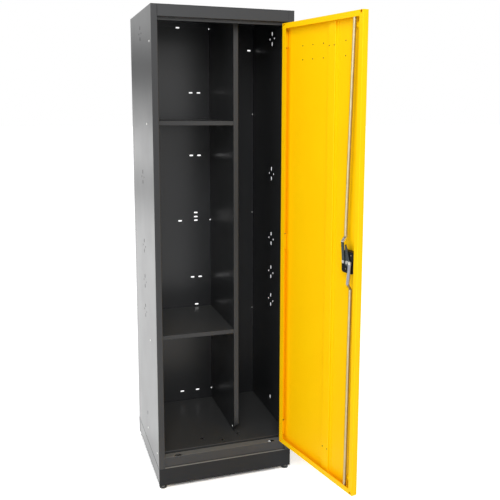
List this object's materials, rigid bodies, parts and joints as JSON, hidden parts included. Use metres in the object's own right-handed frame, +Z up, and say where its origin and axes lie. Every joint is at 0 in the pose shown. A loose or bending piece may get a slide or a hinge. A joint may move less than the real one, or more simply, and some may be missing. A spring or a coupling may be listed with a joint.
{
  "type": "storage cabinet",
  "caption": "Tall narrow steel locker cabinet on a plinth with levelling feet: upright partition, shelves on the left, full-height inset door standing open, with a rod lock inside.",
  "frame": {"origin": "underside centre of the front left foot's pad, on the ground", "axes": "+X to the right along the front seen from the front, +Y from the front to the back, +Z up"},
  "size_m": [0.6234, 0.9661, 1.8],
  "materials": {
    "body_paint": "satin powder coat, dark grey",
    "door_paint": "satin powder coat, yellow",
    "zinc": "zinc plated",
    "hinge_steel": "dark coated",
    "black_plastic": "satin",
    "polished_metal": "polished",
    "foot_plastic": "matt"
  },
  "bodies": {
    "cabinet": {"side_left": "body_paint", "side_right": "body_paint", "back_panel": "body_paint", "top_panel": "body_paint", "head_piece": "body_paint", "floor_panel": "body_paint", "bottom_rail": "body_paint", "plinth_front": "body_paint", "plinth_rear": "body_paint", "plinth_left": "body_paint", "plinth_right": "body_paint", "partition": "body_paint", "shelf_upper": "body_paint", "shelf_lower": "body_paint", "foot_plates": "zinc", "hinge_frame_lower": "hinge_steel", "hinge_frame_middle": "hinge_steel", "hinge_frame_upper": "hinge_steel", "hinge_pin_lower": "zinc", "hinge_pin_middle": "zinc", "hinge_pin_upper": "zinc"},
    "door": {"door_panel": "door_paint", "door_stiffener": "door_paint", "hinge_door_lower": "door_paint", "hinge_door_middle": "door_paint", "hinge_door_upper": "door_paint", "rod_guide_upper": "door_paint", "rod_guide_lower": "door_paint", "lock_housing": "black_plastic", "lock_plate": "black_plastic"},
    "handle": {"turn_knob": "black_plastic", "lock_spindle": "zinc", "lock_cam": "zinc"},
    "key_plug": {"key_plug": "polished_metal"},
    "rod_upper": {"rod_upper": "zinc"},
    "rod_lower": {"rod_lower": "zinc"},
    "foot_front_left": {"foot_pad_front_left": "foot_plastic", "foot_stud_front_left": "zinc"},
    "foot_front_right": {"foot_pad_front_right": "foot_plastic", "foot_stud_front_right": "zinc"},
    "foot_rear_left": {"foot_pad_rear_left": "foot_plastic", "foot_stud_rear_left": "zinc"},
    "foot_rear_right": {"foot_pad_rear_right": "foot_plastic", "foot_stud_rear_right": "zinc"}
  },
  "joints": [
    {"name": "door_swing", "type": "hinge", "parent": "cabinet", "child": "door", "pos_m": [0.48479, -0.0137, 0.93825], "axis": [0, 0, 1], "range_deg": [-102, 13]},
    {"name": "handle_turn", "type": "hinge", "parent": "door", "child": "handle", "pos_m": [0.57644, -0.42901, 0.93825], "axis": [0.9781, 0.2079, 0], "range_deg": [0, 90]},
    {"name": "rod_upper_pivot", "type": "hinge", "parent": "handle", "child": "rod_upper", "pos_m": [0.54766, -0.41774, 0.93825], "axis": [0.9781, 0.2079, 0], "range_deg": [-92, 0]},
    {"name": "rod_lower_pivot", "type": "hinge", "parent": "handle", "child": "rod_lower", "pos_m": [0.55473, -0.451, 0.93825], "axis": [0.9781, 0.2079, 0], "range_deg": [-92, 0]},
    {"name": "key_turn", "type": "hinge", "parent": "handle", "child": "key_plug", "pos_m": [0.57644, -0.42901, 0.93825], "axis": [0.9781, 0.2079, 0], "range_deg": [0, 90]},
    {"name": "foot_screw_front_left", "type": "slide", "parent": "cabinet", "child": "foot_front_left", "axis": [0, 0, -1], "range_m": [0, 0.018]},
    {"name": "foot_screw_front_right", "type": "slide", "parent": "cabinet", "child": "foot_front_right", "axis": [0, 0, -1], "range_m": [0, 0.018]},
    {"name": "foot_screw_rear_left", "type": "slide", "parent": "cabinet", "child": "foot_rear_left", "axis": [0, 0, -1], "range_m": [0, 0.018]},
    {"name": "foot_screw_rear_right", "type": "slide", "parent": "cabinet", "child": "foot_rear_right", "axis": [0, 0, -1], "range_m": [0, 0.018]}
  ],
  "couplings": [
    {"joint": "rod_upper_pivot", "follows": "handle_turn", "ratio": -1.0131},
    {"joint": "rod_lower_pivot", "follows": "handle_turn", "ratio": -1.0134}
  ]
}
